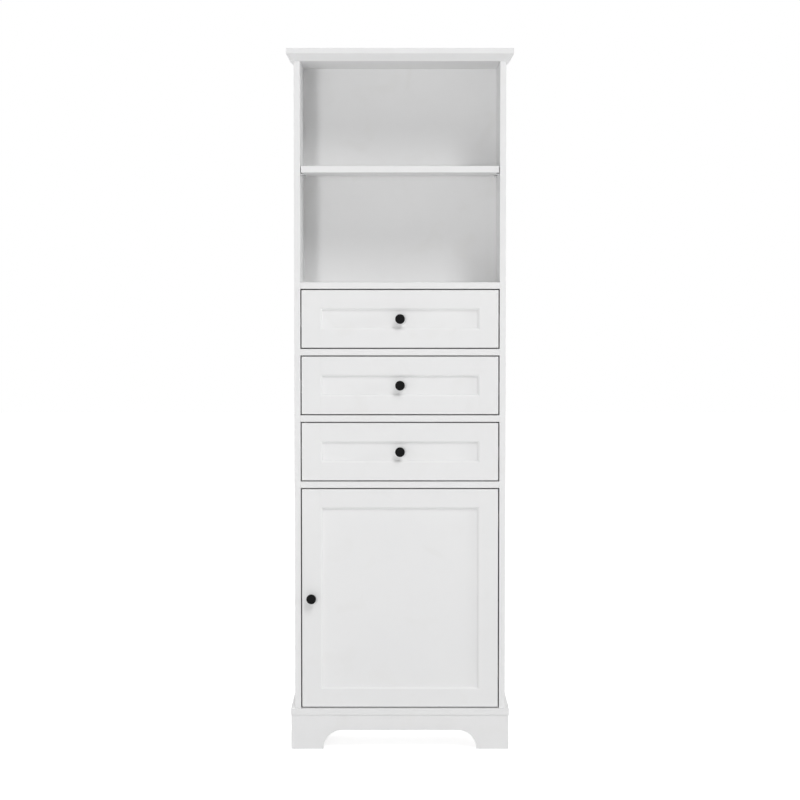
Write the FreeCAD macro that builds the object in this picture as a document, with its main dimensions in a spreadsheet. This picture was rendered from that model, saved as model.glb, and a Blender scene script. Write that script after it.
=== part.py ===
import FreeCAD, Part
import os
import re
import Sketcher

# Tall bathroom cabinet: an open compartment with a shelf, three drawers and a cupboard on a plinth.
# Millimetres, +X to the right, +Y from the doors to the wall, +Z up, origin in the middle of the floor.
# The whole part reaches from the door knob to the back, and the origin lies midway between them.

DRAWER_COUNT = 3
PIN_HOLE_OFFSETS = (-1, 0, 1)
SIDES = {"left": -1, "right": 1}
TOLERANCE_SHARE = 0.001

# Each size: its name and its value.
SIZES = {
    # The whole cabinet: the cap is the widest and deepest board.
    "overall_width": 558.8,
    "overall_height": 1734.8,
    "overall_depth": 254.0,
    "overrun": 2.0,
    # Cap board and the crown moulding under it.
    "cap_thickness": 13.8,
    "cap_overhang": 18.0,
    "crown_drop": 17.0,
    "cap_lip": 1.0,
    "crown_foot": 1.5,
    # Sides, fixed boards and back.
    "side_thickness": 15.0,
    "board_thickness": 16.0,
    "back_thickness": 3.0,
    "rebate_depth": 7.0,
    "rebate_fit": 0.3,
    # Plinth: base board, aprons with an arch between the feet, corner blocks.
    "base_overhang": 10.0,
    "base_thickness": 16.0,
    "plinth_height": 86.0,
    "apron_thickness": 15.0,
    "apron_setback": 2.5,
    "apron_side_setback": 1.0,
    "arch_height": 47.5,
    "arch_upright": 1.0,
    "front_foot_width": 80.0,
    "side_foot_width": 62.0,
    "block_size": 32.0,
    # Heights of the cupboard and of each drawer's opening.
    "cupboard_height": 550.0,
    "drawer_opening": 148.5,
    "drawer_rail_depth": 60.0,
    # Loose shelves on pins.
    "shelf_thickness": 16.0,
    "shelf_end_gap": 2.0,
    "shelf_back_gap": 2.0,
    "open_shelf_setback": 3.0,
    "cupboard_shelf_setback": 28.0,
    "pin_diameter": 5.0,
    "pin_collar_diameter": 8.0,
    "pin_collar_thickness": 1.0,
    "pin_length": 16.0,
    "pin_hole_depth": 9.0,
    "pin_hole_fit": 0.1,
    "pin_hole_step": 32.0,
    "pin_inset": 45.0,
    # Dowels, cam bolts and cam locks that hold the fixed boards.
    "dowel_diameter": 8.0,
    "dowel_length": 30.0,
    "dowel_bite": 10.0,
    "dowel_fit": 0.1,
    "dowel_inset": 67.0,
    "end_dowel_inset": 100.0,
    "rail_dowel_inset": 15.0,
    "bolt_diameter": 6.0,
    "bolt_bite": 10.0,
    "bolt_fit": 0.5,
    "bolt_inset": 35.0,
    "cam_diameter": 15.0,
    "cam_height": 12.3,
    "cam_fit": 0.1,
    "cam_distance": 24.0,
    # Framed fronts: stiles and rails with a sloped inner edge round a thin panel.
    "front_gap": 3.0,
    "front_thickness": 18.0,
    "stile_width": 46.5,
    "frame_rail_width": 44.5,
    "slope_width": 4.5,
    "slope_depth": 2.4,
    "lip_thickness": 4.2,
    "groove_depth": 8.0,
    "groove_end_gap": 1.0,
    "panel_thickness": 6.0,
    "panel_fit": 0.1,
    # Drawer boxes.
    "box_side_thickness": 12.0,
    "box_back_thickness": 12.0,
    "box_rise": 14.0,
    "box_head_gap": 22.5,
    "box_back_gap": 15.0,
    "bottom_thickness": 3.0,
    "bottom_rise": 8.0,
    "bottom_groove_depth": 6.0,
    "bottom_fit": 0.1,
    # Steel channel runners beside each drawer box.
    "runner_space": 12.7,
    "runner_height": 30.0,
    "runner_sheet": 1.2,
    "runner_play": 0.4,
    "runner_setback": 20.0,
    "runner_back_gap": 13.0,
    # Round knobs with a screw from behind.
    "knob_projection": 24.0,
    "knob_diameter": 24.0,
    "knob_foot_diameter": 13.0,
    "knob_foot_height": 2.0,
    "knob_neck_diameter": 9.0,
    "knob_head_height": 8.5,
    "knob_rim_radius": 2.6,
    "knob_throat_radius": 3.0,
    "knob_ring_inset": 0.9,
    "knob_ring_width": 1.2,
    "knob_ring_depth": 0.6,
    "screw_diameter": 4.0,
    "screw_hole_fit": 0.3,
    "screw_bite": 10.0,
    "screw_end_gap": 1.0,
    "screw_head_diameter": 8.0,
    "screw_head_height": 2.4,
    # Concealed cup hinges.
    "hinge_inset": 82.0,
    "cup_diameter": 35.0,
    "cup_depth": 12.5,
    "cup_edge": 4.0,
    "cup_sheet": 0.9,
    "cup_fit": 0.1,
    "flange_diameter": 38.0,
    "flange_thickness": 1.2,
    "flange_length": 54.0,
    "flange_width": 17.0,
    "arm_plate_length": 44.0,
    "arm_plate_height": 40.0,
    "arm_plate_thickness": 3.0,
    "arm_plate_setback": 42.0,
    "arm_width": 12.0,
    "arm_depth": 11.0,
    "arm_reach": 28.0,
    "arm_tip_width": 8.0,
    "arm_tip_gap": 0.3,
    "arm_tip_thickness": 4.5,
    "arm_bend_drop": 6.0,
}

# How high each loose shelf lies in the space that it divides.
SHARES = {
    "open_shelf_share": 0.5128,
    "cupboard_shelf_share": 0.5,
}

# Sizes that follow from the ones above, written once.
DERIVED = {
    "body_half": "overall_width / 2 - cap_overhang",
    "body_depth": "overall_depth - cap_overhang",
    "inner_half": "body_half - side_thickness",
    "front_reach": "max(knob_projection; cap_overhang)",
    "face_y": "(front_reach - body_depth) / 2",
    "rear_y": "(front_reach + body_depth) / 2",
    "panel_y": "rear_y - back_thickness",
    "inner_depth": "body_depth - back_thickness",
    "base_top": "plinth_height + base_thickness",
    "body_top": "overall_height - cap_thickness",
    "crown_reach": "cap_overhang - cap_lip",
    "top_board_z": "body_top - board_thickness",
    "deck_z": "base_top + cupboard_height",
    "drawer_pitch": "drawer_opening + board_thickness",
    "first_opening_z": "deck_z + board_thickness",
    "open_floor_z": f"deck_z + {DRAWER_COUNT} * drawer_pitch",
    "open_space_z": "open_floor_z + board_thickness",
    "open_space_height": "top_board_z - open_space_z",
    "open_shelf_z": "open_space_z + open_shelf_share * (open_space_height - shelf_thickness)",
    "cupboard_shelf_z": "base_top + cupboard_shelf_share * (cupboard_height - shelf_thickness)",
    "apron_half": "body_half + base_overhang - apron_side_setback",
    "apron_y": "face_y - base_overhang + apron_setback",
    "side_apron_y": "apron_y + apron_thickness",
    "side_apron_length": "rear_y - side_apron_y",
    "front_half": "inner_half - front_gap",
    "drawer_front_height": "drawer_opening - 2 * front_gap",
    "door_height": "cupboard_height - 2 * front_gap",
    "door_z": "base_top + front_gap",
    "groove_start": "slope_depth + lip_thickness",
    "groove_end": "groove_start + panel_thickness + 2 * panel_fit",
    "panel_depth": "groove_start + panel_fit",
    "stile_inner": "stile_width + slope_width",
    "rail_inner": "frame_rail_width + slope_width",
    "tongue_length": "groove_depth - groove_end_gap",
    "box_half": "inner_half - runner_space",
    "box_y": "face_y + front_thickness",
    "box_height": "drawer_opening - box_rise - box_head_gap",
    "box_length": "inner_depth - front_thickness - box_back_gap",
    "runner_length": "inner_depth - runner_setback - runner_back_gap",
    "runner_rise": "box_rise + (box_height - runner_height) / 2",
    "runner_width": "runner_space - runner_sheet - runner_play",
    "inner_runner_height": "runner_height - 2 * runner_sheet - 2 * runner_play",
    "cup_x": "front_half - cup_edge - cup_diameter / 2",
    "arm_tip_setback": "front_thickness + flange_thickness + arm_tip_gap",
    "arm_knee_setback": "arm_tip_setback + arm_tip_thickness",
}

CELLS = {**SIZES, **SHARES}
doc = FreeCAD.newDocument("tall_cabinet")
sheet = doc.addObject("Spreadsheet::Sheet", "Sizes")
for row, (alias, value) in enumerate(CELLS.items(), start=1):
    sheet.set(f"A{row}", alias)
    sheet.set(f"B{row}", str(value))
    sheet.setAlias(f"B{row}", alias)
doc.recompute()

subparts = []


def expand(text):
    """Turn the plain names in a formula into the sheet's own."""
    def spell(match):
        word = match.group(0)
        if word in DERIVED:
            return "(" + expand(DERIVED[word]) + ")"
        return "Sizes." + word if word in CELLS else word
    return re.sub(r"[a-z_]+", spell, text)


def number(text):
    """The present value of a formula."""
    return float(sheet.evalExpression(expand(text)))


def bind(item, name, text):
    item.setExpression(name, expand(text))


def place(item, x, y, z):
    for axis, text in zip("xyz", (x, y, z)):
        bind(item, "Placement.Base." + axis, text)


def keep(item, label):
    """Name a finished sub-part."""
    item.Label = label
    subparts.append(item)
    return item


# Plain boards, rods and cuts.

def board(x, y, z, across, deep, high):
    item = doc.addObject("Part::Box", "Board")
    bind(item, "Length", across)
    bind(item, "Width", deep)
    bind(item, "Height", high)
    place(item, x, y, z)
    return item


TURNS = {
    "+x": FreeCAD.Rotation(FreeCAD.Vector(0, 1, 0), 90),
    "-x": FreeCAD.Rotation(FreeCAD.Vector(0, 1, 0), -90),
    "+y": FreeCAD.Rotation(FreeCAD.Vector(1, 0, 0), -90),
    "-y": FreeCAD.Rotation(FreeCAD.Vector(1, 0, 0), 90),
    "+z": FreeCAD.Rotation(),
}


def rod(x, y, z, diameter, length, way):
    item = doc.addObject("Part::Cylinder", "Rod")
    item.Placement = FreeCAD.Placement(FreeCAD.Vector(), TURNS[way])
    bind(item, "Radius", f"({diameter}) / 2")
    bind(item, "Height", length)
    place(item, x, y, z)
    return item


def group(items):
    item = doc.addObject("Part::Compound", "Group")
    item.Links = items
    return item


def cut(base, tools):
    item = doc.addObject("Part::Cut", "Cut")
    item.Base = base
    item.Tool = group(tools)
    return item


def fuse(items):
    item = doc.addObject("Part::MultiFuse", "Fuse")
    item.Shapes = items
    return item


# Sketched bodies.

def new_body(x, y, z):
    body = doc.addObject("PartDesign::Body", "Body")
    place(body, x, y, z)
    return body


def new_sketch(body, plane, outlines):
    """A sketch of closed outlines, each corner held by its two distances from the origin."""
    drawing = body.newObject("Sketcher::SketchObject", "Outline")
    origin_plane = [item for item in body.Origin.OriginFeatures if item.Role == plane][0]
    drawing.AttachmentSupport = [(origin_plane, "")]
    drawing.MapMode = "FlatFace"
    for corners in outlines:
        first = drawing.GeometryCount
        count = len(corners)
        spots = [FreeCAD.Vector(number(a), number(b), 0) for a, b in corners]
        for index in range(count):
            line = Part.LineSegment(spots[index], spots[(index + 1) % count])
            drawing.addGeometry(line, False)
        for index in range(count):
            line, after = first + index, first + (index + 1) % count
            drawing.addConstraint(Sketcher.Constraint("Coincident", line, 2, after, 1))
        for index, (a, b) in enumerate(corners):
            for kind, text in (("DistanceX", a), ("DistanceY", b)):
                held = Sketcher.Constraint(kind, -1, 1, first + index, 1, number(text))
                bind(drawing, f"Constraints[{drawing.addConstraint(held)}]", text)
    return drawing


def pad(body, plane, outlines, length, side="One side", backwards=False):
    feature_sketch = new_sketch(body, plane, outlines)
    feature = body.newObject("PartDesign::Pad", "Pad")
    feature.Profile = feature_sketch
    feature.SideType = side
    feature.Reversed = backwards
    bind(feature, "Length", length)
    doc.recompute()
    return feature


def pocket(body, plane, outlines, length):
    """Cut both ways from the sketch, and make sure that something was cut."""
    before = body.Shape.Volume
    feature_sketch = new_sketch(body, plane, outlines)
    feature = body.newObject("PartDesign::Pocket", "Pocket")
    feature.Profile = feature_sketch
    feature.SideType = "Symmetric"
    bind(feature, "Length", length)
    doc.recompute()
    if not body.Shape.Volume < before:
        raise RuntimeError("a pocket cut nothing: " + body.Name)
    return feature


def fillet(body, picked, radius):
    """Round the edges that picked() chooses on the body's present shape."""
    base = body.Tip
    edges = [f"Edge{index}" for index, edge in enumerate(base.Shape.Edges, start=1) if picked(edge)]
    feature = body.newObject("PartDesign::Fillet", "Fillet")
    feature.Base = (base, edges)
    bind(feature, "Radius", radius)
    doc.recompute()
    return feature


def near(one, other):
    return abs(one - other) < number("overrun") * TOLERANCE_SHARE


# Sides with the rebate for the back, and holes for pins, bolts and dowels.

# The cam locks open on the boards' under sides, and in the top board on the face that the cap hides.
FIXED_BOARDS = {"top_board": "top_board_z", "open_floor": "open_floor_z", "deck": "deck_z"}
CAM_FACES = {"top_board": 1, "open_floor": -1, "deck": -1}
SHELVES = {"open_shelf": "open_shelf_z", "cupboard_shelf": "cupboard_shelf_z"}
DEPTH_PLACES = {"front": "face_y + {0}", "back": "panel_y - {0}"}


def depth_places(inset):
    return [text.format(inset) for text in DEPTH_PLACES.values()]


def rail_z(index):
    """The under side of the rail over drawer opening index, counted from the lowest."""
    return f"first_opening_z + {index} * drawer_pitch + drawer_opening"


def rail_dowel_places():
    return ["face_y + rail_dowel_inset", "face_y + drawer_rail_depth - rail_dowel_inset"]


def dowel_rows():
    """Every level dowel's depth and height, at both ends of each board."""
    rows = []
    for level in FIXED_BOARDS.values():
        rows += [(y, f"{level} + board_thickness / 2") for y in depth_places("dowel_inset")]
    for index in range(DRAWER_COUNT - 1):
        rows += [(y, f"{rail_z(index)} + board_thickness / 2") for y in rail_dowel_places()]
    return rows


def bolt_rows():
    rows = []
    for level in FIXED_BOARDS.values():
        rows += [(y, f"{level} + board_thickness / 2") for y in depth_places("bolt_inset")]
    return rows


def pin_rows(offsets):
    rows = []
    for level in SHELVES.values():
        for offset in offsets:
            height = f"{level} - pin_diameter / 2 + {offset} * pin_hole_step"
            rows += [(y, height) for y in depth_places("pin_inset")]
    return rows


def end_dowel_rows():
    """The upright dowels that fix a side to the base board and to the cap: depth and lower end."""
    return [(y, z) for y in depth_places("end_dowel_inset")
            for z in ("base_top - dowel_bite", "body_top + dowel_bite - dowel_length")]


def end_dowel_holes():
    """The bores for all the upright dowels, long enough for both pieces that they join."""
    return [rod(f"{sign} * (inner_half + side_thickness / 2)", y, f"{z} - dowel_fit",
                "dowel_diameter + 2 * dowel_fit", "dowel_length + 2 * dowel_fit", "+z")
            for sign in SIDES.values() for y, z in end_dowel_rows()]


def make_side(name, sign):
    outward = "+x" if sign > 0 else "-x"
    low_x = "inner_half" if sign > 0 else "-body_half"
    rebate_x = "inner_half - overrun" if sign > 0 else "-inner_half - rebate_depth"
    blank = board(low_x, "face_y", "base_top", "side_thickness", "body_depth", "body_top - base_top")
    tools = [board(rebate_x, "panel_y", "base_top - overrun",
                   "rebate_depth + overrun", "back_thickness + overrun",
                   "body_top - base_top + 2 * overrun")]
    start = f"{sign} * (inner_half - overrun)"
    for y, z in pin_rows(PIN_HOLE_OFFSETS):
        tools.append(rod(start, y, z, "pin_diameter + 2 * pin_hole_fit",
                         "pin_hole_depth + overrun", outward))
    for y, z in bolt_rows():
        tools.append(rod(start, y, z, "bolt_diameter", "bolt_bite + overrun", outward))
    for y, z in dowel_rows():
        tools.append(rod(start, y, z, "dowel_diameter + 2 * dowel_fit",
                         "dowel_bite + dowel_fit + overrun", outward))
    tools += end_dowel_holes()
    keep(cut(blank, tools), "side_" + name)


for side_name, side_sign in SIDES.items():
    make_side(side_name, side_sign)


# Fixed boards between the sides, the two rails between the drawers, and their fittings.

def dowel_holes(rows):
    """The holes in the boards' ends, for the rows that belong to one board."""
    holes = []
    for sign, inward in ((-1, "+x"), (1, "-x")):
        for y, z in rows:
            holes.append(rod(f"{sign} * (inner_half + overrun)", y, z, "dowel_diameter + 2 * dowel_fit",
                             "dowel_length - dowel_bite + dowel_fit + overrun", inward))
    return holes


def make_fixed_board(name, level):
    blank = board("-inner_half", "face_y", level, "2 * inner_half", "inner_depth", "board_thickness")
    middle = f"{level} + board_thickness / 2"
    tools = dowel_holes([(y, middle) for y in depth_places("dowel_inset")])
    bore_depth = "cam_height + cam_fit + overrun"
    bore_z = f"{level} + board_thickness + overrun - ({bore_depth})" if CAM_FACES[name] > 0 else \
        f"{level} - overrun"
    for sign, inward in ((-1, "+x"), (1, "-x")):
        for y in depth_places("bolt_inset"):
            tools.append(fuse([
                rod(f"{sign} * (inner_half + overrun)", y, middle, "bolt_diameter + 2 * bolt_fit",
                    "cam_distance + overrun", inward),
                rod(f"{sign} * (inner_half - cam_distance)", y, bore_z,
                    "cam_diameter + 2 * cam_fit", bore_depth, "+z")]))
    keep(cut(blank, tools), name)


for board_name, board_level in FIXED_BOARDS.items():
    make_fixed_board(board_name, board_level)


def drawer_rail(index):
    level = rail_z(index)
    blank = board("-inner_half", "face_y", level, "2 * inner_half", "drawer_rail_depth", "board_thickness")
    middle = f"{level} + board_thickness / 2"
    return cut(blank, dowel_holes([(y, middle) for y in rail_dowel_places()]))


keep(group([drawer_rail(index) for index in range(DRAWER_COUNT - 1)]), "drawer_rails")


def dowels():
    items = []
    for sign, outward in ((-1, "-x"), (1, "+x")):
        for y, z in dowel_rows():
            items.append(rod(f"{sign} * (inner_half + dowel_bite - dowel_length)", y, z,
                             "dowel_diameter", "dowel_length", outward))
        for y, z in end_dowel_rows():
            items.append(rod(f"{sign} * (inner_half + side_thickness / 2)", y, z,
                             "dowel_diameter", "dowel_length", "+z"))
    return items


keep(group(dowels()), "dowels")


def cam_bolts():
    items = []
    for sign, outward in ((-1, "-x"), (1, "+x")):
        for y, z in bolt_rows():
            items.append(rod(f"{sign} * (inner_half - cam_distance)", y, z,
                             "bolt_diameter", "cam_distance + bolt_bite", outward))
    return items


keep(group(cam_bolts()), "cam_bolts")


def cam_lock(sign, y, level, face):
    """A round cam with the slot that takes the bolt's head, and a cross recess to turn it."""
    centre_x = f"{sign} * (inner_half - cam_distance)"
    outward = "+x" if sign > 0 else "-x"
    drum_z = f"{level} + board_thickness - cam_height" if face > 0 else level
    drum = rod(centre_x, y, drum_z, "cam_diameter", "cam_height", "+z")
    slot = rod(f"{centre_x} - {sign} * bolt_diameter / 2", y, f"{level} + board_thickness / 2",
               "bolt_diameter + 2 * bolt_fit", "cam_diameter", outward)
    recess_long, recess_wide = "cam_diameter / 2", "cam_diameter / 8"
    recess_z = f"{level} + board_thickness - {recess_wide}" if face > 0 else f"{level} - overrun"
    bars = []
    for across, deep in ((recess_long, recess_wide), (recess_wide, recess_long)):
        bars.append(board(f"{centre_x} - {across} / 2", f"{y} - {deep} / 2", recess_z,
                          across, deep, f"overrun + {recess_wide}"))
    return cut(drum, [slot, fuse(bars)])


keep(group([cam_lock(sign, y, level, CAM_FACES[name]) for sign in SIDES.values()
            for name, level in FIXED_BOARDS.items() for y in depth_places("bolt_inset")]), "cam_locks")

keep(board("-inner_half - rebate_depth + rebate_fit", "panel_y", "base_top",
           "2 * (inner_half + rebate_depth - rebate_fit)", "back_thickness", "body_top - base_top"),
     "back_panel")


# Cap board, and the crown moulding that runs round three sides under it with mitred corners.

keep(cut(board("-overall_width / 2", "face_y - cap_overhang", "body_top",
               "overall_width", "overall_depth", "cap_thickness"), end_dowel_holes()), "cap_board")


def crown_slope(sign):
    """What the slope takes off a square strip, from its foot up to its full reach."""
    out_foot, out_top = f"{sign} * crown_foot", f"{sign} * crown_reach"
    far = f"{sign} * (crown_reach + overrun)"
    return [(out_foot, "-overrun"), (out_foot, "0"), (out_top, "crown_drop"), (far, "crown_drop"),
            (far, "-overrun")]


def crown_front():
    body = new_body("0", "face_y", "body_top - crown_drop")
    plan = [("-body_half", "0"), ("body_half", "0"), ("body_half + crown_reach", "-crown_reach"),
            ("-body_half - crown_reach", "-crown_reach")]
    pad(body, "XY_Plane", [plan], "crown_drop")
    pocket(body, "YZ_Plane", [crown_slope(-1)], "2 * overall_width")
    return body


def crown_side(sign):
    body = new_body(f"{sign} * body_half", "face_y", "body_top - crown_drop")
    plan = [("0", "0"), (f"{sign} * crown_reach", "-crown_reach"), (f"{sign} * crown_reach", "body_depth"),
            ("0", "body_depth")]
    pad(body, "XY_Plane", [plan], "crown_drop")
    pocket(body, "XZ_Plane", [crown_slope(sign)], "4 * overall_depth")
    return body


keep(crown_front(), "crown_front")
for side_name, side_sign in SIDES.items():
    keep(crown_side(side_sign), "crown_" + side_name)


# Plinth.

def make_base_board():
    blank = board("-body_half - base_overhang", "face_y - base_overhang", "plinth_height",
                  "2 * (body_half + base_overhang)", "body_depth + base_overhang", "base_thickness")
    keep(cut(blank, end_dowel_holes()), "base_board")


def arched(body, plane, ends, arch, length, backwards):
    """A board on edge with an arch between two feet; arch gives its ends along the board."""
    low, high = ends
    outline = [(low, "0"), (arch[0], "0"), (arch[0], "arch_height"), (arch[1], "arch_height"),
               (arch[1], "0"), (high, "0"), (high, "plinth_height"), (low, "plinth_height")]
    pad(body, plane, [outline], length, backwards=backwards)
    along = (lambda point: point.y) if plane == "YZ_Plane" else (lambda point: point.x)
    ends_at = [number(text) for text in arch]
    crown = number("arch_height")

    def is_arch_corner(edge):
        points = [vertex.Point for vertex in edge.Vertexes]
        return all(near(point.z, crown) and any(near(along(point), end) for end in ends_at)
                   for point in points) and near(along(points[0]), along(points[-1]))

    half_arch = f"(({arch[1]}) - ({arch[0]})) / 2"
    fillet(body, is_arch_corner, f"min(arch_height; {half_arch}) - arch_upright")
    return body


make_base_board()
keep(arched(new_body("0", "apron_y", "0"), "XZ_Plane", ("-apron_half", "apron_half"),
            ("-apron_half + front_foot_width", "apron_half - front_foot_width"), "apron_thickness", True),
     "apron_front")
for side_name, side_sign in SIDES.items():
    apron_x = "apron_half - apron_thickness" if side_sign > 0 else "-apron_half"
    keep(arched(new_body(apron_x, "side_apron_y", "0"), "YZ_Plane", ("0", "side_apron_length"),
                ("side_foot_width - apron_thickness", "side_apron_length - side_foot_width"),
                "apron_thickness", False), "apron_" + side_name)
keep(board("-apron_half + apron_thickness", "rear_y - apron_thickness", "arch_height",
           "2 * (apron_half - apron_thickness)", "apron_thickness", "plinth_height - arch_height"),
     "apron_back")

keep(group([board(x, y, "0", "block_size", "block_size", "plinth_height")
            for x in ("-apron_half + apron_thickness", "apron_half - apron_thickness - block_size")
            for y in ("side_apron_y", "rear_y - apron_thickness - block_size")]), "corner_blocks")


# Loose shelves, each on four pins.

for shelf_name, shelf_level in SHELVES.items():
    keep(board("-inner_half + shelf_end_gap", f"face_y + {shelf_name}_setback", shelf_level,
               "2 * (inner_half - shelf_end_gap)",
               f"inner_depth - {shelf_name}_setback - shelf_back_gap", "shelf_thickness"), shelf_name)


def shelf_pin(sign, y, z):
    outward = "+x" if sign > 0 else "-x"
    start = f"{sign} * (inner_half + pin_hole_depth - pin_hole_fit - pin_length)"
    return fuse([rod(start, y, z, "pin_diameter", "pin_length", outward),
                 rod(f"{sign} * (inner_half - pin_collar_thickness)", y, z,
                     "pin_collar_diameter", "pin_collar_thickness", outward)])


keep(group([shelf_pin(sign, y, z) for sign in SIDES.values() for y, z in pin_rows((0,))]), "shelf_pins")


# Framed fronts, for the drawers and the door.

def stile(x, z, height, sign):
    """An upright whose inner edge slopes down to the panel; sign is the way from its outer edge in."""
    body = new_body(x, "face_y", z)
    plan = [("0", "0"), ("stile_width", "0"), ("stile_inner", "slope_depth"),
            ("stile_inner", "groove_start"), ("stile_inner - groove_depth", "groove_start"),
            ("stile_inner - groove_depth", "groove_end"), ("stile_inner", "groove_end"),
            ("stile_inner", "front_thickness"), ("0", "front_thickness")]
    pad(body, "XY_Plane", [[(f"{sign} * ({a})", b) for a, b in plan]], height)
    return body


def frame_rail(z, sign):
    """A rail whose ends fit over the stiles' slope and into their groove; sign is the way to the panel."""
    body = new_body("0", "face_y", z)
    face_end, shoulder = "front_half - stile_width", "front_half - stile_inner"
    tongue_end = f"{shoulder} + tongue_length"
    right_end = [(face_end, "0"), (shoulder, "slope_depth"), (shoulder, "panel_depth"),
                 (tongue_end, "panel_depth"), (tongue_end, "panel_depth + panel_thickness"),
                 (shoulder, "panel_depth + panel_thickness"), (shoulder, "front_thickness")]
    left_end = [(f"-({a})", b) for a, b in reversed(right_end)]
    pad(body, "XY_Plane", [right_end + left_end], "rail_inner", backwards=sign < 0)
    beyond = "rail_inner + overrun"
    slope = [("0", "frame_rail_width"), ("slope_depth", "rail_inner"), ("slope_depth", beyond),
             ("-overrun", beyond), ("-overrun", "frame_rail_width")]
    groove = [("groove_start", "rail_inner - groove_depth"), ("groove_end", "rail_inner - groove_depth"),
              ("groove_end", beyond), ("groove_start", beyond)]
    pocket(body, "YZ_Plane", [[(a, f"{sign} * ({b})") for a, b in outline] for outline in (slope, groove)],
           "2 * overall_width")
    return body


def panel(z, height):
    return board("-front_half + stile_inner - tongue_length", "face_y + panel_depth",
                 f"{z} + rail_inner - tongue_length", "2 * (front_half - stile_inner + tongue_length)",
                 "panel_thickness", f"{height} - 2 * (rail_inner - tongue_length)")


def screw_hole(x, z):
    return rod(x, "face_y - overrun", z, "screw_diameter + 2 * screw_hole_fit",
               "front_thickness + 2 * overrun", "+y")


def knob(x, y, z):
    """A turned knob: foot, waisted neck and round head with a fine ring on its face."""
    body = new_body(x, y, z)
    head_start = "knob_projection - knob_head_height"
    ring_out = "knob_diameter / 2 - knob_rim_radius - knob_ring_inset"
    ring_in = f"{ring_out} - knob_ring_width"
    ring_floor = "knob_projection - knob_ring_depth"
    profile = [("0", "screw_bite + screw_end_gap"), ("screw_diameter / 2", "screw_bite + screw_end_gap"),
               ("screw_diameter / 2", "0"), ("knob_foot_diameter / 2", "0"),
               ("knob_foot_diameter / 2", "knob_foot_height"),
               ("knob_neck_diameter / 2", "knob_foot_height"), ("knob_neck_diameter / 2", head_start),
               ("knob_diameter / 2", f"{head_start} + knob_rim_radius / 2"),
               ("knob_diameter / 2", "knob_projection"), (ring_out, "knob_projection"),
               (ring_out, ring_floor), (ring_in, ring_floor), (ring_in, "knob_projection"),
               ("0", "knob_projection")]
    outline = new_sketch(body, "XY_Plane", [[(a, f"-({b})") for a, b in profile]])
    turned = body.newObject("PartDesign::Revolution", "Revolution")
    turned.Profile = outline
    turned.ReferenceAxis = (outline, ["V_Axis"])
    turned.Angle = 360
    doc.recompute()

    def circle_at(diameter, out):
        radius, height = number(f"({diameter}) / 2"), -number(out)
        return lambda edge: (isinstance(edge.Curve, Part.Circle) and near(edge.Curve.Radius, radius)
                             and near(edge.Curve.Center.y, height))

    fillet(body, circle_at("knob_diameter", "knob_projection"), "knob_rim_radius")
    fillet(body, circle_at("knob_neck_diameter", head_start), "knob_throat_radius")
    fillet(body, circle_at("knob_diameter", f"{head_start} + knob_rim_radius / 2"), "knob_rim_radius / 2")
    fillet(body, circle_at("knob_foot_diameter", "knob_foot_height"), "knob_foot_height / 2")
    return body


def knob_screw(x, back_y, z, wall):
    """A pan-head screw from behind, through the wall and into the knob."""
    head = rod(x, back_y, z, "screw_head_diameter", "screw_head_height", "+y")
    shank = rod(x, back_y, z, "screw_diameter", f"{wall} + screw_bite", "-y")
    bar_long, bar_wide = "screw_head_diameter / 2", "screw_head_diameter / 8"
    bars = []
    for across, high in ((bar_long, bar_wide), (bar_wide, bar_long)):
        bars.append(board(f"{x} - {across} / 2", f"{back_y} + screw_head_height - {bar_wide}",
                          f"{z} - {high} / 2", across, f"{bar_wide} + overrun", high))
    return cut(fuse([head, shank]), [fuse(bars)])


# Drawers.

def channel(x, y, z, across, high, opens):
    """A steel channel on its side, open towards opens, +1 or -1 along X; x is its low corner."""
    outside = board(x, y, z, across, "runner_length", high)
    hollow_x = f"{x} + runner_sheet" if opens > 0 else f"{x} - overrun"
    hollow = board(hollow_x, f"{y} - overrun", f"{z} + runner_sheet", f"{across} - runner_sheet + overrun",
                   "runner_length + 2 * overrun", f"{high} - 2 * runner_sheet")
    return cut(outside, [hollow])


def cabinet_runner(index, sign):
    z = f"first_opening_z + {index} * drawer_pitch + runner_rise"
    x = "inner_half - runner_width" if sign > 0 else "-inner_half"
    return channel(x, "face_y + runner_setback", z, "runner_width", "runner_height", -sign)


def drawer_runner(index, sign):
    z = f"first_opening_z + {index} * drawer_pitch + runner_rise + runner_sheet + runner_play"
    x = "box_half" if sign > 0 else "-box_half - runner_width"
    return channel(x, "face_y + runner_setback", z, "runner_width", "inner_runner_height", sign)


def box_side(z, sign):
    x = "box_half - box_side_thickness" if sign > 0 else "-box_half"
    groove_x = "box_half - box_side_thickness - overrun" if sign > 0 else \
        "-box_half + box_side_thickness - bottom_groove_depth"
    groove = board(groove_x, "box_y - overrun", f"{z} + bottom_rise", "bottom_groove_depth + overrun",
                   "box_length + 2 * overrun", "bottom_thickness + 2 * bottom_fit")
    return cut(board(x, "box_y", z, "box_side_thickness", "box_length", "box_height"), [groove])


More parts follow.
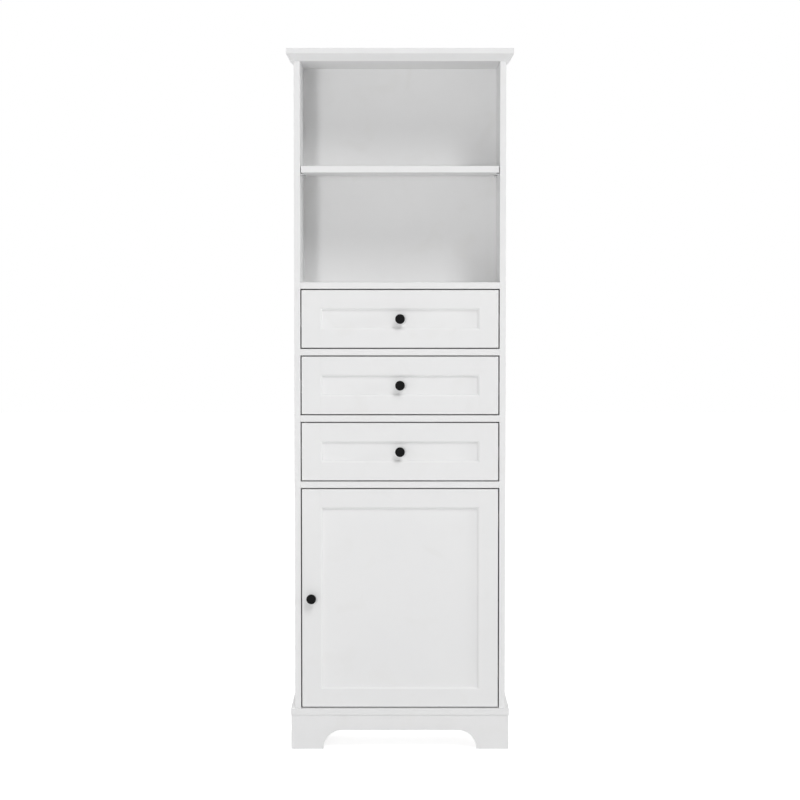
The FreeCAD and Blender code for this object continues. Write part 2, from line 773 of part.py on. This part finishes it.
def make_drawer(index):
    name = f"drawer_{DRAWER_COUNT - index}_"
    z = f"first_opening_z + {index} * drawer_pitch + front_gap"
    height = "drawer_front_height"
    middle = f"{z} + {height} / 2"
    keep(group([stile("-front_half", z, height, 1), stile("front_half", z, height, -1)]), name + "stiles")
    keep(group([frame_rail(z, 1), frame_rail(f"{z} + {height}", -1)]), name + "rails")
    keep(cut(panel(z, height), [screw_hole("0", middle)]), name + "panel")
    keep(knob("0", "face_y + panel_depth", middle), name + "knob")
    keep(knob_screw("0", "face_y + panel_depth + panel_thickness", middle, "panel_thickness"),
         name + "knob_screw")
    box_z = f"first_opening_z + {index} * drawer_pitch + box_rise"
    keep(group([box_side(box_z, sign) for sign in SIDES.values()]), name + "sides")
    inner = "box_half - box_side_thickness"
    back_z = "bottom_rise + bottom_thickness + 2 * bottom_fit"
    keep(board(f"-({inner})", "box_y + box_length - box_back_thickness", f"{box_z} + {back_z}",
               f"2 * ({inner})", "box_back_thickness", f"box_height - ({back_z})"), name + "back")
    keep(board(f"-({inner}) - bottom_groove_depth + bottom_fit", "box_y",
               f"{box_z} + bottom_rise + bottom_fit",
               f"2 * ({inner} + bottom_groove_depth - bottom_fit)", "box_length", "bottom_thickness"),
         name + "bottom")
    keep(group([drawer_runner(index, sign) for sign in SIDES.values()]), name + "runners")


keep(group([cabinet_runner(index, sign) for sign in SIDES.values() for index in range(DRAWER_COUNT)]),
     "cabinet_runners")
for drawer_index in reversed(range(DRAWER_COUNT)):
    make_drawer(drawer_index)


# Door, with its knob on the left stile and two cup hinges in the right one.

HINGE_PLACES = ("door_z + hinge_inset", "door_z + door_height - hinge_inset")
knob_x = "-front_half + stile_width / 2"
door_middle = "door_z + door_height / 2"
keep(cut(stile("-front_half", "door_z", "door_height", 1), [screw_hole(knob_x, door_middle)]),
     "door_stile_left")
keep(cut(stile("front_half", "door_z", "door_height", -1),
         [rod("cup_x", "face_y + front_thickness + overrun", z, "cup_diameter",
              "cup_depth + overrun", "-y") for z in HINGE_PLACES]), "door_stile_right")
keep(frame_rail("door_z + door_height", -1), "door_rail_top")
keep(frame_rail("door_z", 1), "door_rail_bottom")
keep(panel("door_z", "door_height"), "door_panel")
keep(knob(knob_x, "face_y", door_middle), "door_knob")
keep(knob_screw(knob_x, "face_y + front_thickness", door_middle, "front_thickness"), "door_knob_screw")


def hinge_cup(z):
    """A pressed cup in the stile with a flange on its back face, and the knuckle that the links fold to."""
    back = "face_y + front_thickness"
    shell = fuse([rod("cup_x", back, z, "cup_diameter - 2 * cup_fit", "cup_depth - cup_fit", "-y"),
                  rod("cup_x", back, z, "flange_diameter", "flange_thickness", "+y"),
                  board("cup_x - flange_width / 2", back, f"{z} - flange_length / 2",
                        "flange_width", "flange_thickness", "flange_length")])
    hollow = rod("cup_x", f"{back} + flange_thickness + overrun", z,
                 "cup_diameter - 2 * cup_fit - 2 * cup_sheet",
                 "cup_depth - cup_fit - cup_sheet + flange_thickness + overrun", "-y")
    knuckle = board("front_half - arm_reach", f"{back} - cup_depth + cup_fit + cup_sheet / 2",
                    f"{z} - arm_width / 2", "arm_tip_width",
                    "cup_depth - cup_fit - cup_sheet / 2 + flange_thickness", "arm_width")
    return fuse([cut(shell, [hollow]), knuckle])


def hinge_arm(z):
    """A plate on the cabinet side with a cranked arm that ends over the knuckle."""
    body = new_body("front_half", "face_y", z)
    wall, plate_face = "front_gap", "front_gap - arm_plate_thickness"
    plate_end = "arm_plate_setback + arm_plate_length"
    plate = [(plate_face, "arm_plate_setback"), (wall, "arm_plate_setback"), (wall, plate_end),
             (plate_face, plate_end)]
    pad(body, "XY_Plane", [plate], "arm_plate_height", side="Symmetric")
    inner_face = f"{plate_face} - arm_depth"
    tip_inner, bend = "-arm_reach + arm_tip_width", "arm_plate_setback - arm_bend_drop"
    arm = [(plate_face, "arm_plate_setback"), (plate_face, plate_end), (inner_face, plate_end),
           (inner_face, "arm_plate_setback + arm_plate_thickness"),
           ("-arm_reach + arm_plate_thickness", bend), ("-arm_reach", f"{bend} - arm_plate_thickness"),
           ("-arm_reach", "arm_tip_setback"), (tip_inner, "arm_tip_setback"),
           (tip_inner, "arm_knee_setback"),
           (f"({inner_face} + {plate_face}) / 2", "(arm_knee_setback + arm_plate_setback) / 2")]
    pad(body, "XY_Plane", [arm], "arm_width", side="Symmetric")
    return body


keep(group([hinge_cup(z) for z in HINGE_PLACES]), "hinge_cups")
keep(group([hinge_arm(z) for z in HINGE_PLACES]), "hinge_arms")

doc.recompute()


# Check every object, then write each sub-part.

for item in doc.Objects:
    if "Invalid" in item.State or "Error" in item.State:
        raise RuntimeError(f"{item.Label} failed: {item.State}")
for item in subparts:
    if item.Shape.isNull() or not item.Shape.isValid() or not item.Shape.Solids:
        raise RuntimeError(item.Label + " has no valid solid")

os.makedirs("parts", exist_ok=True)
for item in subparts:
    item.Shape.exportStep(os.path.join("parts", item.Label + ".step"))
print(len(subparts), "sub-parts,", sum(len(item.Shape.Solids) for item in subparts), "solids")
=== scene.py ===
import math

import bmesh
import bpy
from mathutils import Matrix, Vector


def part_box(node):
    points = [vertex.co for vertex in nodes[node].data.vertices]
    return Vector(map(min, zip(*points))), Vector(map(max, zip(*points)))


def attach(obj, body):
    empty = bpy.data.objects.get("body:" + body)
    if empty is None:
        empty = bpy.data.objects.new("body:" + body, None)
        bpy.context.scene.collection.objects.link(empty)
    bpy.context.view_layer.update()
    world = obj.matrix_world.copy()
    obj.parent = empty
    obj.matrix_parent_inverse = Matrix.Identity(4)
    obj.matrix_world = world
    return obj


# Tall white cabinet with an open top, three drawers and a cupboard. Metres, +Z up, doors towards -Y.

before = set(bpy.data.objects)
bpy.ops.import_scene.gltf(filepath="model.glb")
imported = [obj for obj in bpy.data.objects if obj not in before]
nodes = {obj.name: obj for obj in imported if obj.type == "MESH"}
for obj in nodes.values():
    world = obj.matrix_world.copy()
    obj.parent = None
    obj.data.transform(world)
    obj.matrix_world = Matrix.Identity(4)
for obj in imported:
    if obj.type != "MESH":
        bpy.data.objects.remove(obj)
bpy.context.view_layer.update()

MM = 0.001
MICRON = 0.000001
WHITE = (1, 1, 1, 1)
SIDES = (-1, 1)
DRAWERS = ("drawer_1", "drawer_2", "drawer_3")


def add(name, data):
    """A new object, linked into the scene."""
    thing = bpy.data.objects.new(name, data)
    bpy.context.scene.collection.objects.link(thing)
    return thing


def put(node, values):
    """Plain values on a node's inputs, by the inputs' names."""
    for name, value in values.items():
        node.inputs[name].default_value = value


def compute(tree, operation, *values):
    """A Math node over plain numbers and the results of other nodes."""
    node = tree.nodes.new("ShaderNodeMath")
    node.operation = operation
    for socket, value in zip(node.inputs, values):
        if isinstance(value, float):
            socket.default_value = value
        else:
            tree.links.new(value, socket)
    return node.outputs[0]


# Materials. Patterns follow Object coordinates, so they stay put on every piece. A pattern's scale is its
# number of features in a metre, so a scale of 100 draws them about 10 mm apart.

MIDDLE_VALUES = (0.3, 0.7)
PEAK_VALUES = (0.58, 0.72)
DRAWN_OUT = 0.04
ALONG = {axis: tuple(DRAWN_OUT if other == axis else 1 for other in "xyz") for axis in "xyz"}


def new_material(name):
    material = bpy.data.materials.new(name)
    material.use_nodes = True
    return material, material.node_tree, material.node_tree.nodes["Principled BSDF"]


def noise(tree, scale, detail, stretch=(1, 1, 1), distortion=0.0):
    """Noise on Object coordinates; stretch below 1 draws the pattern out along that axis."""
    place = tree.nodes.new("ShaderNodeTexCoord")
    mapping = tree.nodes.new("ShaderNodeMapping")
    texture = tree.nodes.new("ShaderNodeTexNoise")
    put(mapping, {"Scale": stretch})
    put(texture, {"Scale": scale, "Detail": detail, "Distortion": distortion})
    tree.links.new(place.outputs["Object"], mapping.inputs["Vector"])
    tree.links.new(mapping.outputs["Vector"], texture.inputs["Vector"])
    return texture.outputs["Fac"]


def spread(tree, source, low, high, band=MIDDLE_VALUES):
    """A band of noise values turned into a range of plain numbers."""
    node = tree.nodes.new("ShaderNodeMapRange")
    put(node, {"From Min": band[0], "From Max": band[1], "To Min": low, "To Max": high})
    tree.links.new(source, node.inputs["Value"])
    return node.outputs["Result"]


def tint(tree, source, dark, light):
    """Noise values turned into a colour between two."""
    ramp = tree.nodes.new("ShaderNodeValToRGB")
    for element, position, colour in zip(ramp.color_ramp.elements, MIDDLE_VALUES, (dark, light)):
        element.position = position
        element.color = (*colour, 1)
    tree.links.new(source, ramp.inputs["Fac"])
    return ramp.outputs["Color"]


def relief(tree, shader, layers):
    """Bumps laid over each other, each a pattern and its height in metres."""
    normal = None
    for source, height in layers:
        bump = tree.nodes.new("ShaderNodeBump")
        put(bump, {"Strength": 1.0, "Distance": height})
        tree.links.new(source, bump.inputs["Height"])
        if normal is not None:
            tree.links.new(normal, bump.inputs["Normal"])
        normal = bump.outputs["Normal"]
    tree.links.new(normal, shader.inputs["Normal"])


def handled(tree, shader, colour, roughness, fade, dulling):
    """Faint marks of use in scattered patches: the colour is multiplied by fade, and the gloss dulled."""
    patches = noise(tree, scale=11.0, detail=6.0, distortion=0.7)
    amount = spread(tree, patches, low=0.0, high=1.0, band=PEAK_VALUES)
    rubbed = tree.nodes.new("ShaderNodeMix")
    rubbed.data_type = "RGBA"
    rubbed.blend_type = "MULTIPLY"
    base, layer = [socket for socket in rubbed.inputs if socket.type == "RGBA"]
    layer.default_value = (*fade, 1)
    tree.links.new(amount, rubbed.inputs["Factor"])
    tree.links.new(colour, base)
    mixed = next(socket for socket in rubbed.outputs if socket.type == "RGBA")
    tree.links.new(mixed, shader.inputs["Base Color"])
    duller = compute(tree, "MULTIPLY_ADD", amount, dulling, roughness)
    tree.links.new(duller, shader.inputs["Roughness"])


def painted(name, along):
    """Sprayed satin white over smooth board: faint orange peel, and a trace of fibres along the piece."""
    material, tree, shader = new_material(name)
    cloud = noise(tree, scale=5.0, detail=3.0)
    fibres = noise(tree, scale=420.0, detail=3.0, stretch=ALONG[along])
    peel = noise(tree, scale=650.0, detail=1.0)
    handled(tree, shader, tint(tree, cloud, dark=(0.873, 0.874, 0.876), light=(0.889, 0.889, 0.889)),
            spread(tree, fibres, low=0.40, high=0.50), fade=(0.985, 0.983, 0.978), dulling=0.08)
    put(shader, {"Specular IOR Level": 0.5})
    relief(tree, shader, ((fibres, 12 * MICRON), (peel, 16 * MICRON)))
    return material


def faced_board(name, tone, along):
    """Thin board or drawer board with a printed-on matt white face and a fine pore pattern."""
    material, tree, shader = new_material(name)
    pores = noise(tree, scale=900.0, detail=2.0, stretch=ALONG[along])
    cloud = noise(tree, scale=7.0, detail=3.0)
    shade = 0.98
    handled(tree, shader, tint(tree, cloud, dark=tuple(value * shade for value in tone), light=tone),
            spread(tree, pores, low=0.48, high=0.62), fade=(0.98, 0.978, 0.972), dulling=0.08)
    put(shader, {"Specular IOR Level": 0.35})
    relief(tree, shader, ((pores, 20 * MICRON),))
    return material


def bare_wood(name, dark, light, along):
    """Sawn softwood or beech: growth rings drawn out along the piece, with fine fibres."""
    material, tree, shader = new_material(name)
    rings = noise(tree, scale=60.0, detail=4.0, stretch=ALONG[along], distortion=0.6)
    fibres = noise(tree, scale=700.0, detail=3.0, stretch=ALONG[along])
    handled(tree, shader, tint(tree, rings, dark, light), spread(tree, fibres, low=0.6, high=0.8),
            fade=(0.86, 0.83, 0.80), dulling=0.1)
    relief(tree, shader, ((rings, 60 * MICRON), (fibres, 50 * MICRON)))
    return material


def plated(name, dark, light, smooth, rough, along):
    """Plated or bright metal with fine draw lines along the sheet."""
    material, tree, shader = new_material(name)
    lines = noise(tree, scale=1500.0, detail=2.0, stretch=ALONG[along])
    blotches = noise(tree, scale=120.0, detail=3.0)
    put(shader, {"Metallic": 1.0})
    handled(tree, shader, tint(tree, blotches, dark, light), spread(tree, lines, low=smooth, high=rough),
            fade=(0.88, 0.87, 0.85), dulling=0.12)
    relief(tree, shader, ((lines, 8 * MICRON),))
    return material


def satin_black(name):
    """Powder-coated black: a fine pebbled skin with a soft sheen. Handling turns it a little paler."""
    material, tree, shader = new_material(name)
    pebbles = noise(tree, scale=2600.0, detail=1.0)
    cloud = noise(tree, scale=160.0, detail=2.0)
    handled(tree, shader, tint(tree, cloud, dark=(0.004, 0.004, 0.0043), light=(0.007, 0.007, 0.0074)),
            spread(tree, cloud, low=0.34, high=0.44), fade=(1.5, 1.5, 1.5), dulling=0.06)
    put(shader, {"Specular IOR Level": 0.09})
    relief(tree, shader, ((pebbles, 12 * MICRON),))
    return material


white_upright = painted("white paint upright", along="z")
white_level = painted("white paint level", along="x")
white_deep = painted("white paint front to back", along="y")
white_back = faced_board("white back board", tone=(0.88, 0.88, 0.88), along="z")
drawer_board = faced_board("white drawer board", tone=(0.79, 0.79, 0.785), along="y")
softwood = bare_wood("softwood block", dark=(0.52, 0.38, 0.23), light=(0.68, 0.53, 0.35), along="z")
beech = bare_wood("beech dowel", dark=(0.55, 0.38, 0.24), light=(0.70, 0.52, 0.35), along="x")
black = satin_black("satin black")
zinc_steel = plated("zinc plated steel", dark=(0.52, 0.53, 0.54), light=(0.64, 0.64, 0.64),
                    smooth=0.24, rough=0.4, along="x")
runner_steel = plated("runner sheet steel", dark=(0.60, 0.60, 0.60), light=(0.72, 0.72, 0.72),
                      smooth=0.28, rough=0.42, along="y")
nickel = plated("nickel plate", dark=(0.62, 0.60, 0.57), light=(0.70, 0.68, 0.65),
                smooth=0.18, rough=0.3, along="y")


# The solids keep their shapes and get paint, board, wood or metal, and eased edges. The knobs are already
# round and stay as they are.

WELD_REACH = 0.01 * MM
SHARP_EDGE = math.radians(35)
EASING_STEPS = 2


def ease(piece, width):
    weld = piece.modifiers.new("joined corners", "WELD")
    weld.merge_threshold = WELD_REACH
    bevel = piece.modifiers.new("eased edges", "BEVEL")
    bevel.width = width
    bevel.segments = EASING_STEPS
    bevel.limit_method = "ANGLE"
    bevel.angle_limit = SHARP_EDGE
    bevel.use_clamp_overlap = False
    bevel.harden_normals = True


def dress(material, width, *names):
    """A material for these nodes, and edges eased to a width where it isn't 0."""
    for name in names:
        piece = nodes[name]
        for slot in piece.material_slots:
            slot.material = material
        if width:
            ease(piece, width)


# Widths of the eased edges, by what the piece is made of.
BOARD = 0.5 * MM
THIN_BOARD = 0.3 * MM
BOX_BOARD = 0.4 * MM
SAWN = 0.8 * MM
DOWEL = 0.6 * MM
CRANKED = 0.5 * MM
TURNED = 0.3 * MM
SHEET = 0.25 * MM

dress(white_upright, BOARD, "side_left", "side_right", "door_stile_left", "door_stile_right", "door_panel")
dress(white_level, BOARD, "top_board", "open_floor", "drawer_rails", "deck", "base_board", "apron_front",
      "apron_back", "open_shelf", "cupboard_shelf", "cap_board", "crown_front", "door_rail_top",
      "door_rail_bottom")
dress(white_deep, BOARD, "crown_left", "crown_right", "apron_left", "apron_right")
dress(white_back, THIN_BOARD, "back_panel")
dress(softwood, SAWN, "corner_blocks")
dress(beech, DOWEL, "dowels")
dress(zinc_steel, TURNED, "shelf_pins", "cam_bolts", "door_knob_screw")
dress(zinc_steel, SHEET, "cam_locks")
dress(runner_steel, SHEET, "cabinet_runners")
dress(nickel, CRANKED, "hinge_arms")
dress(nickel, TURNED, "hinge_cups")
dress(black, 0, "door_knob")
for drawer in DRAWERS:
    dress(white_upright, BOARD, drawer + "_stiles")
    dress(white_level, BOARD, drawer + "_rails", drawer + "_panel")
    dress(drawer_board, BOX_BOARD, drawer + "_sides", drawer + "_back")
    dress(drawer_board, THIN_BOARD, drawer + "_bottom")
    dress(runner_steel, SHEET, drawer + "_runners")
    dress(black, 0, drawer + "_knob")
    dress(zinc_steel, TURNED, drawer + "_knob_screw")


# Small fittings, turned and pressed at the origin, facing +Z, and then set where they belong.

# The cross's arm and half width and the ring round it are shares of a head's radius, and the cross's depth
# is a share of its height. The dome's steps go out as multiples of the ring's radius, and down as shares of
# the head's height.
CROSS_ARM = 0.48
CROSS_HALF_WIDTH = 0.13
CROSS_DEPTH = 0.55
RING = 0.62
RING_CORNERS = 24
DOME = ((1.30, 0.10), (1.55, 0.42), (1.61, 0.72), (1.61, 1.0))
SINK = 0.3 * MM
QUARTER = math.radians(90)
FACING = {"+x": Matrix.Rotation(QUARTER, 4, "Y"), "-x": Matrix.Rotation(-QUARTER, 4, "Y"),
          "+y": Matrix.Rotation(-QUARTER, 4, "X"), "-y": Matrix.Rotation(QUARTER, 4, "X")}
OUTWARD = {-1: "-x", 1: "+x"}
INWARD = {-1: "+x", 1: "-x"}


def keep_piece(bm, name, material, body):
    """Ends a bmesh as a smooth piece that rides on a body."""
    bmesh.ops.remove_doubles(bm, verts=bm.verts, dist=MICRON)
    bmesh.ops.recalc_face_normals(bm, faces=bm.faces)
    for face in bm.faces:
        face.smooth = True
    for edge in bm.edges:
        edge.smooth = edge.calc_face_angle(math.pi) < SHARP_EDGE
    mesh = bpy.data.meshes.new(name)
    bm.to_mesh(mesh)
    bm.free()
    mesh.materials.append(material)
    piece = add(name, mesh)
    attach(piece, body)


def outer_loop(bm):
    return [edge for edge in bm.edges if edge.is_boundary]


def only(kind, items):
    return [item for item in items if isinstance(item, kind)]


def screw_head(diameter, height):
    """A domed head with a cross recess. It reaches a little below its seat, so no gap shows."""
    radius = diameter / 2
    arm, slit = radius * CROSS_ARM, radius * CROSS_HALF_WIDTH
    bm = bmesh.new()
    bmesh.ops.create_grid(bm, x_segments=3, y_segments=3, size=arm)
    for vert in bm.verts:
        for axis in (0, 1):
            if abs(vert.co[axis]) < arm / 2:
                vert.co[axis] = math.copysign(slit, vert.co[axis])
    bmesh.ops.subdivide_edges(bm, edges=outer_loop(bm), cuts=1)
    cross = [face for face in bm.faces
             if min(abs(face.calc_center_median().x), abs(face.calc_center_median().y)) < slit]
    crown = outer_loop(bm)
    bmesh.ops.create_circle(bm, segments=RING_CORNERS, radius=radius * RING)
    rim = [edge for edge in bm.edges if edge.is_wire]
    bmesh.ops.bridge_loops(bm, edges=crown + rim)
    reach, level = 1.0, 0.0
    for out, down in DOME:
        pulled = bmesh.ops.extrude_edge_only(bm, edges=rim)["geom"]
        rim, ends = only(bmesh.types.BMEdge, pulled), only(bmesh.types.BMVert, pulled)
        bmesh.ops.scale(bm, verts=ends, vec=(out / reach, out / reach, 1))
        bmesh.ops.translate(bm, verts=ends, vec=(0, 0, -(down - level) * height))
        reach, level = out, down
    pulled = bmesh.ops.extrude_edge_only(bm, edges=rim)["geom"]
    bmesh.ops.translate(bm, verts=only(bmesh.types.BMVert, pulled), vec=(0, 0, -SINK))
    bmesh.ops.contextual_create(bm, geom=only(bmesh.types.BMEdge, pulled))
    pressed = bmesh.ops.extrude_face_region(bm, geom=cross)["geom"]
    bmesh.ops.delete(bm, geom=cross, context="FACES_KEEP_BOUNDARY")
    ends = only(bmesh.types.BMVert, pressed)
    bmesh.ops.translate(bm, verts=ends, vec=(0, 0, -CROSS_DEPTH * height))
    bmesh.ops.translate(bm, verts=bm.verts, vec=(0, 0, height))
    return bm


def set_out(fitting, spots):
    """One bmesh with a copy of the fitting at every spot; a spot is a place and the way it faces."""
    pattern = bpy.data.meshes.new("pattern")
    fitting.to_mesh(pattern)
    fitting.free()
    whole = bmesh.new()
    for place, facing in spots:
        count = len(whole.verts)
        whole.from_mesh(pattern)
        whole.verts.ensure_lookup_table()
        move = Matrix.Translation(Vector(place)) @ FACING[facing]
        bmesh.ops.transform(whole, verts=whole.verts[count:], matrix=move)
    bpy.data.meshes.remove(pattern)
    return whole


def fasten(name, head, spots, body):
    """One zinc plated piece with a head at every spot; a head is a diameter and a height."""
    keep_piece(set_out(screw_head(*head), spots), name, zinc_steel, body)


def left_and_right(x, depths, levels, ways):
    """Spots at x and -x, for every depth and level."""
    return [((side * x, depth, level), ways[side])
            for side in SIDES for depth in depths for level in levels]


# Hinges: two screws through each cup's flange, two through each plate, and two in each arm to adjust it.

CUP_HEAD = (6.6 * MM, 1.5 * MM)
PLATE_HEAD = (7.6 * MM, 1.9 * MM)
ARM_HEAD = (7.0 * MM, 1.2 * MM)
FLANGE_LENGTH = 54 * MM
FLANGE_SCREWS = 23 * MM
PLATE_THICKNESS = 3 * MM
PLATE_MIDDLE = 22 * MM
PLATE_SCREWS = 13.5 * MM
ARM_DEPTH = 11 * MM
ARM_SCREWS = (9 * MM, 27 * MM)

cups_low, cups_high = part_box("hinge_cups")
arms_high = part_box("hinge_arms")[1]
hinge_levels = (cups_low.z + FLANGE_LENGTH / 2, cups_high.z - FLANGE_LENGTH / 2)
cup_x = (cups_low.x + cups_high.x) / 2
plate_x = arms_high.x - PLATE_THICKNESS
plate_y = arms_high.y - PLATE_MIDDLE
arm_x = plate_x - ARM_DEPTH
spots = [((cup_x, cups_high.y, level + side * FLANGE_SCREWS), "+y")
         for level in hinge_levels for side in SIDES]
fasten("cup_screws", CUP_HEAD, spots, "door")
spots = [((plate_x, plate_y, level + side * PLATE_SCREWS), "-x")
         for level in hinge_levels for side in SIDES]
fasten("plate_screws", PLATE_HEAD, spots, "carcass")
spots = [((arm_x, arms_high.y - back, level), "-x")
         for level in hinge_levels for back in ARM_SCREWS]
fasten("arm_screws", ARM_HEAD, spots, "carcass")


# Drawers: three screws through the web of every runner and of the channel that it slides in, countersunk
# screws through the sides into the back, and cams that draw the framed front on.

RUNNER_HEAD = (7.0 * MM, 1.7 * MM)
CORNER_HEAD = (7.0 * MM, 0.5 * MM)
CAM_HEAD = (14.6 * MM, 0.6 * MM)
RUNNER_SHEET = 1.2 * MM
FIRST_SCREW, LAST_SCREW = 18 * MM, 14 * MM
BOX_SIDE = 12 * MM
CORNER_LEVELS = (26 * MM, 98 * MM)
CAM_LEVELS = (34 * MM, 88 * MM)
CAM_BACKSET = 24 * MM

channels_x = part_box("cabinet_runners")[1].x
for number, drawer in enumerate(DRAWERS, start=1):
    low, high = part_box(drawer + "_runners")
    side_low, side_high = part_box(drawer + "_sides")
    depths = (low.y + FIRST_SCREW, (low.y + high.y) / 2, high.y - LAST_SCREW)
    levels = ((low.z + high.z) / 2,)
    spots = left_and_right(side_high.x + RUNNER_SHEET, depths, levels, OUTWARD)
    fasten(drawer + "_runner_screws", RUNNER_HEAD, spots, drawer)
    spots = left_and_right(channels_x - RUNNER_SHEET, depths, levels, INWARD)
    fasten("cabinet_runner_screws_%d" % number, RUNNER_HEAD, spots, "carcass")
    depths = (side_high.y - BOX_SIDE / 2,)
    levels = [side_low.z + up for up in CORNER_LEVELS]
    spots = left_and_right(side_high.x, depths, levels, OUTWARD)
    fasten(drawer + "_corner_screws", CORNER_HEAD, spots, drawer)
    depths = (side_low.y + CAM_BACKSET,)
    levels = [side_low.z + up for up in CAM_LEVELS]
    spots = left_and_right(side_high.x - BOX_SIDE, depths, levels, INWARD)
    fasten(drawer + "_front_cams", CAM_HEAD, spots, drawer)


# Plinth: two screws from each inner face of every corner block into the apron.

BLOCK_HEAD = (8.0 * MM, 0.6 * MM)
BLOCK = 32 * MM
BLOCK_LEVELS = (22 * MM, 64 * MM)
BLOCK_SHIFT = 10 * MM

blocks_low, blocks_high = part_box("corner_blocks")
spots = []
for side in SIDES:
    for face_y, way, middle_y in ((blocks_low.y + BLOCK, "+y", blocks_low.y + BLOCK / 2),
                                  (blocks_high.y - BLOCK, "-y", blocks_high.y - BLOCK / 2)):
        for level in BLOCK_LEVELS:
            spots.append(((side * (blocks_high.x - BLOCK / 2), face_y, level), way))
            spots.append(((side * (blocks_high.x - BLOCK), middle_y, level + BLOCK_SHIFT),
                          INWARD[side]))
fasten("block_screws", BLOCK_HEAD, spots, "carcass")


# The floor, white to the camera but still taking the cabinet's shadow.

FLOOR_REACH = 14.0
FLOOR_TONE = (0.72, 0.72, 0.72, 1)
FLOOR_GLOW = 0.8


def white_to_camera(tree):
    """1 where the camera, a gloss or a clear surface looks, 0 for soft light."""
    path = tree.nodes.new("ShaderNodeLightPath").outputs
    either = compute(tree, "MAXIMUM", path["Is Camera Ray"], path["Is Glossy Ray"])
    return compute(tree, "MAXIMUM", either, path["Is Transmission Ray"])


bm = bmesh.new()
bmesh.ops.create_grid(bm, x_segments=1, y_segments=1, size=FLOOR_REACH)
floor_mesh = bpy.data.meshes.new("floor")
bm.to_mesh(floor_mesh)
bm.free()
floor = add("floor", floor_mesh)
floor_material, tree, shader = new_material("pale floor")
put(shader, {"Base Color": FLOOR_TONE, "Roughness": 0.9, "Specular IOR Level": 0.1, "Emission Color": WHITE})
glow = compute(tree, "MULTIPLY", white_to_camera(tree), FLOOR_GLOW)
tree.links.new(glow, shader.inputs["Emission Strength"])
floor.data.materials.append(floor_material)


# Studio light: two large soft lamps high up in front on the right, a small fill in front at chest height,
# weak ones at both sides and over the cabinet, one behind, a wash over the floor in front, and a pale room.

AIM = Vector((0.0, 0.0, 0.95))


def lamp(name, place, size, watts, gleams=True):
    """A round soft lamp that points at the cabinet; size is its diameter."""
    data = bpy.data.lights.new(name, "AREA")
    data.shape = "DISK"
    data.size = size
    data.energy = watts
    holder = add(name, data)
    holder.location = place
    holder.rotation_euler = (AIM - Vector(place)).to_track_quat("-Z", "Y").to_euler()
    holder.visible_camera = False
    holder.visible_glossy = gleams


lamp("key", place=(4.8, -11.5, 11.2), size=4.2, watts=500)
lamp("high", place=(3.1, -9.6, 13.6), size=4.6, watts=290)
lamp("fill", place=(-1.08, -5.4, 1.3), size=0.55, watts=60, gleams=False)
lamp("right", place=(3.9, -1.1, 1.5), size=0.9, watts=26)
lamp("left", place=(-4.2, -3.6, 1.6), size=2.0, watts=8)
lamp("behind", place=(-2.4, 5.2, 3.4), size=2.4, watts=130)
lamp("over", place=(0.3, 1.0, 5.4), size=2.0, watts=30)

WASH_PLACE = (0.0, -3.3, 3.0)
WASH_WATTS = 145
WASH_ANGLE = math.radians(76)
WASH_SOFT_RIM = 0.5
WASH_RADIUS = 0.4
wash = bpy.data.lights.new("floor_wash", "SPOT")
wash.spot_size = WASH_ANGLE
wash.spot_blend = WASH_SOFT_RIM
wash.shadow_soft_size = WASH_RADIUS
wash.energy = WASH_WATTS
wash_holder = add("floor_wash", wash)
wash_holder.location = WASH_PLACE
wash_holder.visible_camera = False

ROOM_LIGHT = 0.268
BACKDROP_LIGHT = 1.0
world = bpy.data.worlds.new("room")
bpy.context.scene.world = world
world.use_nodes = True
tree = world.node_tree
room = tree.nodes["Background"]
backdrop = tree.nodes.new("ShaderNodeBackground")
put(room, {"Color": WHITE, "Strength": ROOM_LIGHT})
put(backdrop, {"Color": WHITE, "Strength": BACKDROP_LIGHT})
blend = tree.nodes.new("ShaderNodeMixShader")
sockets = (white_to_camera(tree), room.outputs["Background"], backdrop.outputs["Background"])
for source, socket in zip(sockets, blend.inputs):
    tree.links.new(source, socket)
tree.links.new(blend.outputs[0], tree.nodes["World Output"].inputs["Surface"])
bpy.context.scene.view_settings.view_transform = "Standard"


# Camera: straight in front, as in the photograph, at chest height and looking slightly down.

EYE = (0.0, -6.0, 1.189)
EYE_TILT = math.radians(3.092)
LENS, SENSOR = 107.3, 36.0
camera_data = bpy.data.cameras.new("camera")
camera_data.lens = LENS
camera_data.sensor_width = SENSOR
camera = add("camera", camera_data)
camera.location = EYE
camera.rotation_euler = (math.radians(90) - EYE_TILT, 0.0, 0.0)
bpy.context.scene.camera = camera
